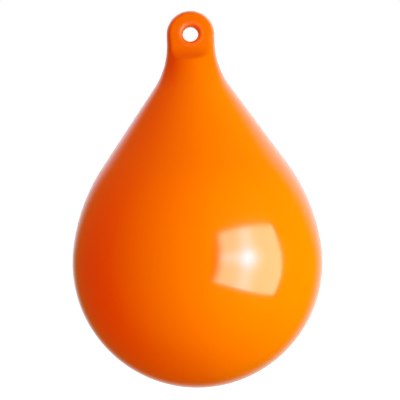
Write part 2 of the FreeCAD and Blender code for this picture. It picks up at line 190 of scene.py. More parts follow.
@dataclass(frozen=True)
class DropOutline:
    """The drop's outline in the plane of the lug: ball, flank, cone, neck and lug, all tangent."""

    ball_radius: float
    lug_radius: float
    eye_above_ball: float = 0.067
    shoulder: float = math.radians(8.0)
    flank_radius: float = 0.120
    neck_radius: float = 0.050
    lug_side: float = 0.0055

    @property
    def eye_height(self) -> float:
        """How far the eye is above the centre of the ball."""
        return self.eye_above_ball + self.ball_radius

    @property
    def ball_centre(self) -> Place:
        """The centre of the ball, under the eye."""
        return (0.0, -self.eye_height)

    @property
    def bottom(self) -> float:
        """The height of the lowest point."""
        return -self.eye_height - self.ball_radius

    @property
    def flank_centre(self) -> Place:
        """The centre of the flank's arc, on the far side of the axis.

        Returns:
            Its (x, z).
        """
        inward = self.flank_radius - self.ball_radius
        return (
            -inward * math.cos(self.shoulder),
            -self.eye_height - inward * math.sin(self.shoulder),
        )

    @property
    def neck_centre(self) -> Place:
        """The centre of the hollow neck's arc, outside the drop."""
        return (self.lug_radius + self.neck_radius, -self.lug_side)

    @property
    def cone_angle(self) -> float:
        """How far the cone's side leans from upright, so that it touches the arcs at both ends.

        Returns:
            The angle.
        """
        across = self.neck_centre[0] - self.flank_centre[0]
        up = self.neck_centre[1] - self.flank_centre[1]
        apart = math.hypot(across, up)
        return math.atan2(up, across) - math.acos((self.flank_radius + self.neck_radius) / apart)

    def ball_to_cone(self, grow: float, foot_radius: float) -> list[Arc | Line]:
        """The ball, flank and cone of the outline, moved outward by a distance.

        Args:
            grow: How far to move it, negative for inward.
            foot_radius: How far from the axis the ball's arc starts.

        Returns:
            The three pieces, upward.
        """
        lean = self.cone_angle
        ball = self.ball_radius + grow
        foot = polar(self.flank_centre, self.flank_radius + grow, lean)
        head = polar(self.neck_centre, self.neck_radius - grow, lean + math.pi)
        return [
            Arc(self.ball_centre, ball, -math.acos(foot_radius / ball), self.shoulder),
            Arc(self.flank_centre, self.flank_radius + grow, self.shoulder, lean),
            Line(foot, head),
        ]

    def whole(self, foot_radius: float) -> list[Arc | Line]:
        """The right half of the whole outline, from the bottom to the top of the lug.

        Args:
            foot_radius: How far from the axis it starts at the bottom.

        Returns:
            Its pieces, upward.
        """
        first, lug = math.pi + self.cone_angle, self.lug_radius
        return [
            *self.ball_to_cone(0.0, foot_radius),
            Arc(self.neck_centre, self.neck_radius, first, math.pi, outward=-1),
            Line((lug, -self.lug_side), (lug, 0.0)),
            Arc((0.0, 0.0), lug, 0.0, math.pi / 2),
        ]


def polar(centre: Place, radius: float, angle: float) -> Place:
    """The point at an angle on a circle."""
    return (centre[0] + radius * math.cos(angle), centre[1] + radius * math.sin(angle))


# ------------------------------------------------------------------------------ meshes


def turned(line: np.ndarray, angle: np.ndarray, side: int = 1) -> np.ndarray:
    """Turn a run of points about the upright axis.

    Args:
        line: The run's (x, z) points.
        angle: The angles from +X at which to note it.
        side: The sign of Y towards which the angles grow.

    Returns:
        The points, as rows along the run by columns round the axis by (x, y, z).
    """
    x = line[:, :1] * np.cos(angle)
    y = side * line[:, :1] * np.sin(angle)
    return np.stack([x, y, np.broadcast_to(line[:, 1:], x.shape)], axis=2)


def link(name: str, data: bpy.types.ID) -> bpy.types.Object:
    """Put an object with some data in the scene.

    Args:
        name: The object's name.
        data: Its mesh or camera.

    Returns:
        The object.
    """
    thing = bpy.data.objects.new(name, data)
    bpy.context.scene.collection.objects.link(thing)
    return thing


def sheet(name: str, corners: list[Place], finish: bpy.types.Material) -> bpy.types.Object:
    """Make a flat piece of the stage with four corners.

    Args:
        name: The object's name.
        corners: Its corners, in order round it.
        finish: Its material.

    Returns:
        The object, which faces +Z.
    """
    mesh = bpy.data.meshes.new(name)
    mesh.from_pydata([(x, y, 0.0) for x, y in corners], [], [(0, 1, 2, 3)])
    mesh.materials.append(finish)
    piece = link(name, mesh)
    return piece


class MeshBook:
    """Vertices and faces noted one after another, then made into one object."""

    def __init__(self) -> None:
        """Start with no vertices and no faces."""
        self.points: list[Triple] = []
        self.faces: list[tuple[int, ...]] = []

    def add_points(self, points: np.ndarray) -> np.ndarray:
        """Note some points.

        Args:
            points: An array whose last axis is (x, y, z).

        Returns:
            Their numbers, in an array of the same shape without that axis.
        """
        first = len(self.points)
        flat = points.reshape(-1, 3)
        self.points.extend(map(tuple, flat.tolist()))
        return np.arange(first, first + len(flat)).reshape(points.shape[:-1])

    def add_grid(
        self, numbers: np.ndarray, keep: np.ndarray | None = None, closed: bool = False
    ) -> None:
        """Note a four-sided face for each cell of a grid of points.

        Args:
            numbers: The points' numbers, as rows and columns.
            keep: Which cells get a face, or None for all.
            closed: Whether the last column joins the first.
        """
        if closed:
            numbers = np.concatenate([numbers, numbers[:, :1]], axis=1)
        rows, columns = numbers.shape
        for i in range(rows - 1):
            for j in range(columns - 1):
                if keep is None or keep[i, j]:
                    self.add_face([*numbers[i, j:j + 2], *numbers[i + 1, j:j + 2][::-1]])

    def add_face(self, corners: Iterable[int]) -> None:
        """Note one face by its corners' numbers."""
        self.faces.append(tuple(int(corner) for corner in corners))

    def add_flat(self, loops: list[list[int]]) -> None:
        """Fill a flat outline, with holes, with triangles.

        Args:
            loops: The points' numbers round the outline, then round each hole.
        """
        order = [number for loop in loops for number in loop]
        places = [[Vector(self.points[number]) for number in loop] for loop in loops]
        for triangle in tessellate_polygon(places):
            self.add_face(order[corner] for corner in triangle)

    def build(self, name: str, sharp: float = math.radians(32.0)) -> bpy.types.Object:
        """Make the object, with its faces turned outward and smooth but for its sharp edges.

        Args:
            name: The object's name.
            sharp: The angle between two faces over which their edge is sharp.

        Returns:
            The object, linked to the scene.
        """
        mesh = bpy.data.meshes.new(name)
        mesh.from_pydata(self.points, [], self.faces)
        tidy_mesh(mesh)
        mesh.shade_smooth()
        mesh.set_sharp_from_angle(angle=sharp)
        return link(name, mesh)


def tidy_mesh(mesh: bpy.types.Mesh) -> None:
    """Weld points that lie together, drop faces with no area, and turn all faces outward.

    Args:
        mesh: The mesh to tidy.
    """
    work = bmesh.new()
    work.from_mesh(mesh)
    bmesh.ops.remove_doubles(work, verts=work.verts, dist=WELD_DISTANCE)
    bmesh.ops.dissolve_degenerate(work, edges=work.edges, dist=NO_LENGTH)
    loose = [vertex for vertex in work.verts if not vertex.link_faces]
    bmesh.ops.delete(work, geom=loose, context="VERTS")
    bmesh.ops.recalc_face_normals(work, faces=work.faces)
    work.to_mesh(mesh)
    work.free()


# ------------------------------------------------------------------------------ finishes


@dataclass(frozen=True)
class Grain:
    """A procedural pattern: its features in a metre and how many finer layers it adds."""

    scale: float
    detail: float


class Nodes:
    """The node tree of a material or a world, with short ways to add and join nodes."""

    def __init__(self, owner: bpy.types.Material | bpy.types.World, output: str) -> None:
        """Empty the owner's node tree but for a new output.

        Args:
            owner: The material or the world.
            output: The output node's type, without its ShaderNode prefix.
        """
        owner.use_nodes = True
        self.owner = owner
        self.tree = owner.node_tree
        self.tree.nodes.clear()
        self.output = self.add(output)

    @classmethod
    def of_material(cls, name: str) -> "Nodes":
        """The empty tree of a new material."""
        return cls(bpy.data.materials.new(name), "OutputMaterial")

    @classmethod
    def of_world(cls, name: str) -> "Nodes":
        """Make a world with an empty tree and give it to the scene.

        Args:
            name: The world's name.

        Returns:
            Its tree.
        """
        world = bpy.data.worlds.new(name)
        bpy.context.scene.world = world
        return cls(world, "OutputWorld")

    def add(self, kind: str, **values: object) -> bpy.types.Node:
        """Add a node.

        Args:
            kind: The node's type, without its ShaderNode prefix.
            **values: Its properties, or its input sockets by name with underscores for spaces.

        Returns:
            The node.
        """
        node = self.tree.nodes.new(f"ShaderNode{kind}")
        for key, value in values.items():
            socket = key.replace("_", " ")
            if socket in node.inputs:
                node.inputs[socket].default_value = value
            else:
                setattr(node, key, value)
        return node

    def join(self, source: Socket, target: Socket) -> None:
        """Lead one socket to another."""
        self.tree.links.new(source, target)

    def feed(self, value: Socket | float | Triple, target: Socket) -> None:
        """Give a socket its value.

        Args:
            value: A socket to lead there, or the number or colour itself.
            target: The socket.
        """
        if isinstance(value, bpy.types.NodeSocket):
            self.join(value, target)
        elif isinstance(value, tuple) and target.type == "RGBA":
            target.default_value = (*value, 1.0)
        else:
            target.default_value = value

    def math(self, operation: str, first: Socket, second: Socket | float = 0.0) -> Socket:
        """Work out a sum.

        Args:
            operation: Which sum.
            first: Its first value.
            second: Its second value, where the sum takes one.

        Returns:
            The result.
        """
        node = self.add("Math", operation=operation)
        self.feed(first, node.inputs[0])
        self.feed(second, node.inputs[1])
        return node.outputs["Value"]

    def vector(
        self, operation: str, first: Socket, second: Socket | Triple = (0.0, 0.0, 0.0)
    ) -> bpy.types.Node:
        """Work out a sum of vectors.

        Args:
            operation: Which sum.
            first: Its first vector.
            second: Its second vector, where the sum takes one.

        Returns:
            The node, whose output depends on the sum.
        """
        node = self.add("VectorMath", operation=operation)
        self.feed(first, node.inputs[0])
        self.feed(second, node.inputs[1])
        return node

    def times(self, first: Socket, second: Socket | float) -> Socket:
        """Multiply two values."""
        return self.math("MULTIPLY", first, second)

    def plus(self, first: Socket, second: Socket | float) -> Socket:
        """Add two values."""
        return self.math("ADD", first, second)

    def most(self, first: Socket, second: Socket | float) -> Socket:
        """The greater of two values."""
        return self.math("MAXIMUM", first, second)

    def along(self, vector: Socket, way: Triple) -> Socket:
        """How far a vector reaches along a fixed direction."""
        return self.vector("DOT_PRODUCT", vector, way).outputs["Value"]

    def mix(self, share: Socket, first: Socket | Colour, second: Socket | Colour) -> Socket:
        """Mix two colours.

        Args:
            share: The second colour's share.
            first: The first colour.
            second: The second colour.

        Returns:
            The mixed colour.
        """
        node = self.add("Mix", data_type="RGBA")
        self.feed(share, node.inputs["Factor"])
        self.feed(first, node.inputs["A"])
        self.feed(second, node.inputs["B"])
        return node.outputs["Result"]

    def choose(self, share: Socket, first: Socket, second: Socket) -> Socket:
        """Mix two shaders.

        Args:
            share: The second shader's share.
            first: The first shader.
            second: The second shader.

        Returns:
            The mixed shader.
        """
        node = self.add("MixShader")
        for value, target in zip((share, first, second), node.inputs):
            self.join(value, target)
        return node.outputs["Shader"]

    def finish(self, shader: Socket) -> None:
        """Lead the finished shader to the output."""
        self.join(shader, self.output.inputs["Surface"])

    def noise(self, place: Socket, grain: Grain) -> Socket:
        """Add a noise that follows a place.

        Args:
            place: The coordinates that it follows.
            grain: Its scale and detail.

        Returns:
            Its value, from 0 to 1.
        """
        node = self.add("TexNoise", Scale=grain.scale, Detail=grain.detail, Roughness=NOISE_ROUGHNESS)
        self.join(place, node.inputs["Vector"])
        return node.outputs["Fac"]

    def remap(self, value: Socket, span: Pair, to: Pair, smooth: bool = False) -> Socket:
        """Stretch a value from one span to another.

        Args:
            value: The value.
            span: The values that count as the lowest and the highest.
            to: What those become.
            smooth: Whether it eases in and out.

        Returns:
            The new value, kept within the new span.
        """
        node = self.add("MapRange", clamp=True)
        if smooth:
            node.interpolation_type = "SMOOTHSTEP"
        node.inputs["From Min"].default_value, node.inputs["From Max"].default_value = span
        node.inputs["To Min"].default_value, node.inputs["To Max"].default_value = to
        self.join(value, node.inputs["Value"])
        return node.outputs["Result"]


@dataclass(frozen=True)
class MouldedPlastic:
    """Glossy coloured polyethylene as it leaves the mould, with a faint skin and light handling wear.

    The lug is painted darker and redder than the float. This is painted shade: it stands in for the
    lesser light on the lug, which also lacks the light that the float's thin wall lets through. The
    eye, whose rim is trimmed after moulding, is matt.
    """

    name: str
    colour: Colour
    deep_colour: Colour
    # the lug's painted shade colour, with the height down to which it is full and the height at which
    # it has faded to the float's own colour
    lug_painted_shade_colour: Colour = (0.90, 0.18, 0.0)
    lug_painted_shade_full_from: float = -0.017
    lug_painted_shade_fade_to: float = -0.040
    # the pattern in the colour, and the gloss with its scuffs
    clouds: Grain = Grain(14.0, 3.0)
    clouds_span: Pair = (0.3, 0.7)
    roughness: float = 0.11
    scuffed_roughness: float = 0.17
    scuffs: Grain = Grain(38.0, 4.0)
    scuffs_span: Pair = (0.45, 0.80)
    # the matt rim, as distances from the eye's axis
    trimmed_roughness: float = 0.50
    trimmed_to: float = 0.0078
    trimmed_fade: float = 0.0016
    # the gloss and the relief, which are the same all over
    coat: float = 0.0
    coat_roughness: float = 0.05
    ior: float = 1.54
    specular_level: float = 0.775
    skin: Grain = Grain(260.0, 2.0)
    skin_depth: float = 0.00002
    waves: Grain = Grain(22.0, 1.0)
    wave_depth: float = 0.00012

    def material(self) -> bpy.types.Material:
        """Build the finish as a material.

        Returns:
            The material.
        """
        nodes = Nodes.of_material(self.name)
        place = nodes.add("TexCoord").outputs["Object"]
        parts = nodes.add("SeparateXYZ")
        nodes.join(place, parts.inputs["Vector"])
        relief = self._relief(nodes, place)
        shader = nodes.add("BsdfPrincipled", IOR=self.ior, Specular_IOR_Level=self.specular_level)
        shader.inputs["Coat Weight"].default_value = self.coat
        shader.inputs["Coat Roughness"].default_value = self.coat_roughness
        nodes.join(self._colour(nodes, place, parts.outputs["Z"]), shader.inputs["Base Color"])
        rough = self._roughness(nodes, place, parts.outputs["X"], parts.outputs["Z"])
        nodes.join(rough, shader.inputs["Roughness"])
        nodes.join(relief, shader.inputs["Normal"])
        nodes.join(relief, shader.inputs["Coat Normal"])
        nodes.finish(shader.outputs["BSDF"])
        return nodes.owner

    def _colour(self, nodes: Nodes, place: Socket, height: Socket) -> Socket:
        """Cloud the float's colour a little, and darken the lug with painted shade.

        Args:
            nodes: The material's nodes.
            place: The place on the float.
            height: Its height above the eye.

        Returns:
            The colour.
        """
        clouds = nodes.remap(nodes.noise(place, self.clouds), self.clouds_span, (0.0, 1.0))
        wall = nodes.mix(clouds, self.deep_colour, self.colour)
        # painted shade: towards the top the lug fades from the float's colour to a darker, redder one,
        # whatever the light
        painted_shade_share = nodes.remap(height, (self.lug_painted_shade_fade_to, self.lug_painted_shade_full_from), (0.0, 1.0), smooth=True)
        return nodes.mix(painted_shade_share, wall, self.lug_painted_shade_colour)

    def _roughness(self, nodes: Nodes, place: Socket, across: Socket, height: Socket) -> Socket:
        """Roughen the float where hands have rubbed it, and where its eye is trimmed.

        Args:
            nodes: The material's nodes.
            place: The place on the float.
            across: Its distance across from the eye.
            height: Its height above the eye.

        Returns:
            The roughness.
        """
        scuffs = nodes.remap(nodes.noise(place, self.scuffs), self.scuffs_span, (0.0, 1.0))
        rubbed = nodes.remap(scuffs, (0.0, 1.0), (self.roughness, self.scuffed_roughness))
        square = nodes.plus(nodes.times(across, across), nodes.times(height, height))
        span = (self.trimmed_to**2, (self.trimmed_to + self.trimmed_fade) ** 2)
        trimmed = nodes.remap(square, span, (self.trimmed_roughness, 0.0), smooth=True)
        return nodes.most(rubbed, trimmed)

    def _relief(self, nodes: Nodes, place: Socket) -> Socket:
        """Raise the mould's fine skin and, over it, broad shallow waves.

        Args:
            nodes: The material's nodes.
            place: The place on the float.

        Returns:
            The surface's direction.
        """
        skin = nodes.add("Bump", Strength=1.0, Distance=self.skin_depth)
        nodes.join(nodes.noise(place, self.skin), skin.inputs["Height"])
        waves = nodes.add("Bump", Strength=1.0, Distance=self.wave_depth)
        nodes.join(nodes.noise(place, self.waves), waves.inputs["Height"])
        nodes.join(skin.outputs["Normal"], waves.inputs["Normal"])
        return waves.outputs["Normal"]


# ------------------------------------------------------------------------------ the float


@dataclass
class SeamSeat:
    """The shallow seat that the weld bead fills, cut in the outer edge of both halves."""

    half_width: float = 0.00085
    depth: float = 0.00065


@dataclass
class PlugSeat:
    """The stepped hole for the filler plug, and the boss round it inside the float."""

    head_radius: float = 0.0101
    head_depth: float = 0.0018
    shank_radius: float = 0.0071
    boss_radius: float = 0.014
    boss_top: float = 0.0055


@dataclass
class LugFace:
    """The face that thins the round neck to the lug: a drafted flat, a tight hollow, then a ramp.

    Across, the face bulges a little in its middle, about an upright axis behind it.
    """

    cone_angle: float
    half_thickness: float = 0.008
    length: float = 0.0075
    draft: float = math.radians(8.0)
    scoop_radius: float = 0.010
    lift: float = math.radians(24.0)
    crown: float = 0.090
    lug_blend: float = 0.0022
    neck_blend: float = 0.006

    def thickness_at(self, height: np.ndarray) -> np.ndarray:
        """Half the thickness at the middle of the face.

        Args:
            height: Heights above the eye.

        Returns:
            The half thickness at each.
        """
        slope = self.cone_angle + self.lift
        foot = self.half_thickness + self.length * math.tan(self.draft)
        centre_depth = foot + self.scoop_radius * math.cos(self.draft)
        fall = self.scoop_radius * math.sin(self.draft) - self.length - height
        last = self.scoop_radius * math.sin(slope)
        hollow = centre_depth - np.sqrt(self.scoop_radius**2 - np.clip(fall, 0.0, last) ** 2)
        ramp = np.maximum(fall - last, 0.0) * math.tan(slope)
        flat = self.half_thickness - height * math.tan(self.draft)
        return np.where(height > -self.length, flat, hollow + ramp)

    def crown_at(self, height: np.ndarray) -> np.ndarray:
        """The radius of the face's bulge across, at heights above the eye."""
        return self.crown + self.thickness_at(height) - self.half_thickness

    def depth(self, across: np.ndarray, height: np.ndarray) -> np.ndarray:
        """How far the face stands from the parting plane.

        Args:
            across: Places along X.
            height: Heights above the eye.

        Returns:
            The depths.
        """
        return np.sqrt(self.crown_at(height) ** 2 - across**2) - self.crown + self.half_thickness

    def reach(self, height: np.ndarray, angle: np.ndarray) -> np.ndarray:
        """How far the face is from the upright axis through the eye, along level rays.

        Args:
            height: Each ring's height, one row for a ring.
            angle: Each ray's angle from +X towards the half's own side.

        Returns:
            The distances.
        """
        crown = self.crown_at(height)
        back = self.crown - self.half_thickness
        sine = np.sin(angle)
        return np.sqrt((back * sine) ** 2 + crown**2 - back**2) - back * sine

    def blend_at(self, height: np.ndarray) -> np.ndarray:
        """How broadly the edge between the face and the round outside is rounded.

        Args:
            height: Heights above the eye.

        Returns:
            The blend at each.
        """
        below = np.clip((-height - self.length) / (2.0 * self.scoop_radius), 0.0, 1.0)
        return self.lug_blend + (self.neck_blend - self.lug_blend) * below


@dataclass
class OuterSkin:
    """The outer surface of a half: its grid of points, the cells left to the eye, and its edges."""

    numbers: np.ndarray
    places: np.ndarray
    near_eye: np.ndarray
    right: np.ndarray
    left: np.ndarray


@dataclass
class HalfShell:
    """One half moulding: its outside with the lug, the rope eye, the edges, and the hollow inside."""

    outline: DropOutline
    side: Side
    finish: bpy.types.Material
    eye_radius: float
    face: LugFace
    rim_radius: float = 0.0025
    rim_spread: float = 1.45
    rim_probe: float = 0.0001
    rim_steps: int = 12
    bore_ring: float = 0.002
    wall: float = 0.0025
    crown_radius: float = 0.042
    columns: int = 168
    hollow_columns: int = 56
    seam_seat: SeamSeat = field(default_factory=SeamSeat)
    plug_seat: PlugSeat = field(default_factory=PlugSeat)

    @property
    def name(self) -> str:
        """The half's name, which is also its frame node's."""
        return f"{self.side.name.lower()}_half_shell"

    def ring(self, radius: np.ndarray, height: np.ndarray, angle: np.ndarray) -> np.ndarray:
        """Points of the outside on level rings, round below and flattened beside the lug.

        Args:
            radius: Each ring's radius in the plane of the lug.
            height: Each ring's height.
            angle: Each point's angle from +X towards the half's own side, one row for a ring.

        Returns:
            The points, as rings by columns by (x, y, z).
        """
        level = height[:, None]
        face = self.face.reach(level, angle)
        reach = soft_least(radius[:, None], face, self.face.blend_at(level))
        x = reach * np.cos(angle)
        y = self.side.value * reach * np.sin(angle)
        return np.stack([x, y, np.broadcast_to(level, x.shape)], axis=2)

    def build(self) -> bpy.types.Object:
        """Build the half and dress it.

        Returns:
            The half's object, riding on the frame in its node's stead.
        """
        book = MeshBook()
        skin = self._add_outside(book)
        hole = self._add_eye(book, skin)
        inner = self._add_inside(book, skin.numbers[0])
        self._add_parting_face(book, skin, inner, hole)
        return stand_for(book.build(self.name), self.name, self.finish)

    def _add_outside(self, book: MeshBook) -> OuterSkin:
        """Add the outer surface, without the faces round the eye, and the bead's seat at both edges.

        Args:
            book: Where to note the faces.

        Returns:
            The surface, whose edges run up the seat's floor on the +X and the -X side.
        """
        seat = self.seam_seat
        line, normal = sample(self.outline.whole(self.plug_seat.head_radius), OUTSIDE_STEPS)
        clear = line[:, 0] > seat.half_width
        line, normal = line[clear], normal[clear]
        radius, height = line[:, 0], line[:, 1]
        edge = np.arcsin(seat.half_width / radius)[:, None]
        angle = edge + (math.pi - 2.0 * edge) * np.linspace(0.0, 1.0, self.columns + 1)
        places = self.ring(radius, height, angle)
        numbers = book.add_points(places)

        corners = [places[:-1, :-1], places[1:, :-1], places[:-1, 1:], places[1:, 1:]]
        farthest = np.max([np.hypot(corner[..., 0], corner[..., 2]) for corner in corners], axis=0)
        near_eye = farthest < self.eye_radius + self.rim_radius * self.rim_spread
        book.add_grid(numbers, ~near_eye)

        crest = book.add_points(self._seat_point(self.outline.lug_radius, seat.half_width))
        for here, after in zip(numbers[-1][:-1], numbers[-1][1:]):
            book.add_face((here, after, crest))
        sunk = line - seat.depth * normal
        right, left = (
            self._add_seat(book, sunk * (sign, 1), numbers[:, column], crest)
            for column, sign in ((0, 1), (-1, -1))
        )
        return OuterSkin(numbers, places, near_eye, right, left)

    def _seat_point(self, height: float, depth: float) -> np.ndarray:
        """A point over the middle of the lug, at a depth from the parting plane."""
        return np.array([0.0, self.side.value * depth, height])

    def _add_seat(
        self, book: MeshBook, sunk: np.ndarray, outer: np.ndarray, crest: np.ndarray
    ) -> np.ndarray:
        """Add the wall and the floor of the bead's seat along one edge.

        Args:
            book: Where to note the faces.
            sunk: The (x, z) points of the seat's floor.
            outer: Point numbers along the outer surface's edge.
            crest: The number of the point at the top of the lug.

        Returns:
            Point numbers up the floor's edge in the parting plane, to its top.
        """
        seat = self.seam_seat
        top = self.outline.lug_radius - seat.depth
        foot = np.insert(sunk, 1, self.side.value * seat.half_width, axis=1)
        floor = np.insert(sunk, 1, 0.0, axis=1)
        rows = np.stack([
            np.append(outer, crest),
            book.add_points(np.vstack([foot, self._seat_point(top, seat.half_width)])),
            book.add_points(np.vstack([floor, self._seat_point(top, 0.0)])),
        ], axis=1)
        book.add_grid(rows)
        return rows[:, -1]

    def _add_eye(self, book: MeshBook, skin: OuterSkin) -> np.ndarray:
        """Add the rope eye: a rounded rim, rolled from the face into the hole, and a straight wall.

        Args:
            book: Where to note the faces.
            skin: The outer surface.

        Returns:
            The point numbers round the eye in the parting plane.
        """
        gone = np.pad(skin.near_eye, 1).astype(int)
        corner = gone[:-1, :-1] + gone[1:, :-1] + gone[:-1, 1:] + gone[1:, 1:]
        border = (corner > 0) & (corner < 4)
        ids, spots = skin.numbers[border], skin.places[border]
        turn = np.arctan2(spots[:, 2], spots[:, 0])
        order = np.argsort(turn)
        ids, turn = ids[order], turn[order]

        pivot = self.eye_radius + self.rim_radius
        near, mid, far = (
            self.face.depth(radius * np.cos(turn), radius * np.sin(turn))
            for radius in (pivot - self.rim_probe, pivot, pivot + self.rim_probe)
        )
        slope = (far - near) / (2.0 * self.rim_probe)
        first = np.arctan(slope)
        centre = mid - self.rim_radius * np.sqrt(1.0 + slope**2)
        rings = []
        for share in np.linspace(0.0, 1.0, self.rim_steps):
            bend = first + (math.pi / 2 - first) * share
            across, down = self.rim_radius * np.sin(bend), self.rim_radius * np.cos(bend)
            rings.append((pivot - across, centre + down))
        for depth in (self.bore_ring, 0.0):
            rings.append((np.full_like(turn, self.eye_radius), np.full_like(turn, depth)))
        inner = book.add_points(np.array([
            np.stack([radius * np.cos(turn), self.side.value * depth, radius * np.sin(turn)], axis=1)
            for radius, depth in rings
        ]))
        book.add_grid(np.vstack([ids, inner]), closed=True)
        return inner[-1]

    def _add_inside(self, book: MeshBook, outer_foot: np.ndarray) -> np.ndarray:
        """Add the plug's seat, the boss and the hollow, as one run turned half round.

        Args:
            book: Where to note the faces.
            outer_foot: The outer surface's lowest row of point numbers.

        Returns:
            The run's point numbers, as rows from the seat to the crown by columns.
        """
        plug, bottom = self.plug_seat, self.outline.bottom
        inside = self.outline.ball_radius - self.wall
        boss_foot = self.outline.ball_centre[1] - math.sqrt(inside**2 - plug.boss_radius**2)
        steps = [
            (plug.head_radius, bottom + plug.head_depth),
            (plug.shank_radius, bottom + plug.head_depth),
            (plug.shank_radius, bottom + plug.boss_top),
            (plug.boss_radius, bottom + plug.boss_top),
            (plug.boss_radius, boss_foot),
        ]
        hollow = self.outline.ball_to_cone(-self.wall, plug.boss_radius)
        lean = self.outline.cone_angle
        foot = hollow[-1].start
        reach = foot[0] * math.cos(lean) + foot[1] * math.sin(lean)
        crown_centre = (0.0, (reach - self.crown_radius) / math.sin(lean))
        hollow[-1] = Line(foot, polar(crown_centre, self.crown_radius, lean))
        hollow.append(Arc(crown_centre, self.crown_radius, lean, math.pi / 2))
        line, _ = sample(hollow, HOLLOW_STEPS)
        line = np.concatenate([np.array(steps), line[1:]])
        angle = np.linspace(0.0, math.pi, self.hollow_columns + 1)
        numbers = book.add_points(turned(line, angle, self.side.value))
        book.add_grid(numbers)
        self._add_plug_wall(book, outer_foot, numbers[0])
        return numbers

    def _add_plug_wall(self, book: MeshBook, lip: np.ndarray, ledge: np.ndarray) -> None:
        """Add the wall between the ball's lip and the plug's ledge, whose columns don't match.

        Args:
            book: Where to note the faces.
            lip: Point numbers along the lip.
            ledge: Point numbers along the ledge.
        """
        i = j = 0
        last_lip, last_ledge = len(lip) - 1, len(ledge) - 1
        while i < last_lip or j < last_ledge:
            lip_is_behind = (i + 1) / last_lip <= (j + 1) / last_ledge
            if i < last_lip and (j == last_ledge or lip_is_behind):
                book.add_face((lip[i], lip[i + 1], ledge[j]))
                i += 1
            else:
                book.add_face((lip[i], ledge[j + 1], ledge[j]))
                j += 1

    def _add_parting_face(
        self, book: MeshBook, skin: OuterSkin, inner: np.ndarray, hole: np.ndarray
    ) -> None:
        """Close the half with its flat parting face, whose hollow and rope eye stay open.

        Args:
            book: Where to note the faces.
            skin: The outer surface.
            inner: The inside run's point numbers.
            hole: Point numbers round the rope eye.
        """
        inside_right, inside_left = inner[:, 0], inner[:, -1]
        loop = [*skin.right, *skin.left[::-1][1:], *inside_left, *inside_right[::-1][1:]]
        book.add_flat([[int(number) for number in loop], [int(number) for number in hole]])


@dataclass(frozen=True)
class Ripple:
    """A wave along the weld bead: radians in a metre, where it starts, and its share of the whole."""

    pitch: float
    start: float = 0.0
    share: float = 1.0

    def at(self, travel: np.ndarray) -> np.ndarray:
        """The wave's height at distances along the bead."""
        return self.share * np.sin(travel * self.pitch + self.start)


@dataclass
class SeamBead:
    """The thin weld bead round the outline, a little uneven, which stops short of the plug."""

    outline: DropOutline
    finish: bpy.types.Material
    half_width: float = 0.0008
    proud: float = 0.0003
    depth: float = 0.0006
    shoulder: float = 0.00005
    plug_clear: float = 0.0101
    unevenness: float = 0.00004
    height_ripples: tuple[Ripple, ...] = (Ripple(900.0, share=0.6), Ripple(2130.0, 1.3, 0.4))
    width_ripple: Ripple = Ripple(610.0, 0.7)
    crown_points: int = 9
    sharp: float = math.radians(50.0)

    def build(self) -> bpy.types.Object:
        """Sweep the bead's section from one side of the plug, over the lug, to the other side.

        Returns:
            The bead's object, riding on the frame in its node's stead.
        """
        line, normal = sample(self.outline.whole(self.plug_clear), OUTSIDE_STEPS)
        mirror = np.array([-1.0, 1.0])
        line = np.concatenate([line, (line * mirror)[-2::-1]])
        normal = np.concatenate([normal, (normal * mirror)[-2::-1]])
        travel = np.concatenate([[0.0], np.cumsum(np.hypot(*np.diff(line, axis=0).T))])
        ripple = sum(wave.at(travel) for wave in self.height_ripples)
        lift = self.proud - self.unevenness * (1.0 - ripple)
        width = self.half_width - self.unevenness * (1.0 + self.width_ripple.at(travel))

        arch = [(-math.cos(t), math.sin(t)) for t in np.linspace(0.0, math.pi, self.crown_points)]
        columns = []
        for across, up in ((-1.0, None), *arch, (1.0, None)):
            rise = -self.depth if up is None else up * (lift + self.shoulder) - self.shoulder
            place = line + np.broadcast_to(rise, travel.shape)[:, None] * normal
            columns.append(np.stack([place[:, 0], across * width, place[:, 1]], axis=1))
        book = MeshBook()
        numbers = book.add_points(np.stack(columns, axis=1))
        book.add_grid(numbers, closed=True)
        book.add_face(numbers[0])
        book.add_face(numbers[-1])
        return stand_for(book.build("seam_bead", self.sharp), "seam_bead", self.finish)


@dataclass
class FillerPlug:
    """The plug in the filling hole: a head flush with the ball, a shank, and a dimple in its centre."""

    outline: DropOutline
    finish: bpy.types.Material
    head_radius: float = 0.010
    head_depth: float = 0.0018
    shank_radius: float = 0.007
    length: float = 0.0055
    dimple_radius: float = 0.0025
    dimple_depth: float = 0.0006
    dimple_slope: float = 0.55
    edge: float = 0.00025
    face_points: int = 12
    columns: int = 96

    def build(self) -> bpy.types.Object:
        """Turn the plug's profile about its axis.

        Returns:
            The plug's object, riding on the frame in its node's stead.
        """
        angle = np.linspace(0.0, 2.0 * math.pi, self.columns, endpoint=False)
        book = MeshBook()
        book.add_grid(book.add_points(turned(np.array(self._profile()), angle)), closed=True)
        return stand_for(book.build("filler_plug"), "filler_plug", self.finish)

    def _profile(self) -> list[Place]:
        """Draw the plug's profile: the dimple, the head's face and edge, then the shank.

        Returns:
            Its (x, z) points, from the middle of the face to the middle of the shank's end.
        """
        dimple, head, edge = self.dimple_radius, self.head_radius, self.edge
        bottom = self.outline.bottom
        ledge, end = bottom + self.head_depth, bottom + self.length
        crown = np.linspace(dimple + edge, head - edge, self.face_points)
        return [
            (0.0, bottom + self.dimple_depth),
            (dimple - 3 * edge, bottom + self.dimple_depth),
            (dimple - edge, bottom + self.dimple_depth * self.dimple_slope),
            (dimple, self._face(dimple) + edge / 3),
            *((radius, self._face(radius)) for radius in crown),
            (head - edge / 4, self._face(head) + edge / 4),
            (head, self._face(head) + edge),
            (head, ledge),
            (self.shank_radius, ledge),
            (self.shank_radius, end - edge),
            (self.shank_radius - edge, end),
            (0.0, end),
        ]

    def _face(self, radius: float) -> float:
        """The height of the head's face at a radius, where it follows the ball."""
        return -self.outline.eye_height - math.sqrt(self.outline.ball_radius**2 - radius**2)


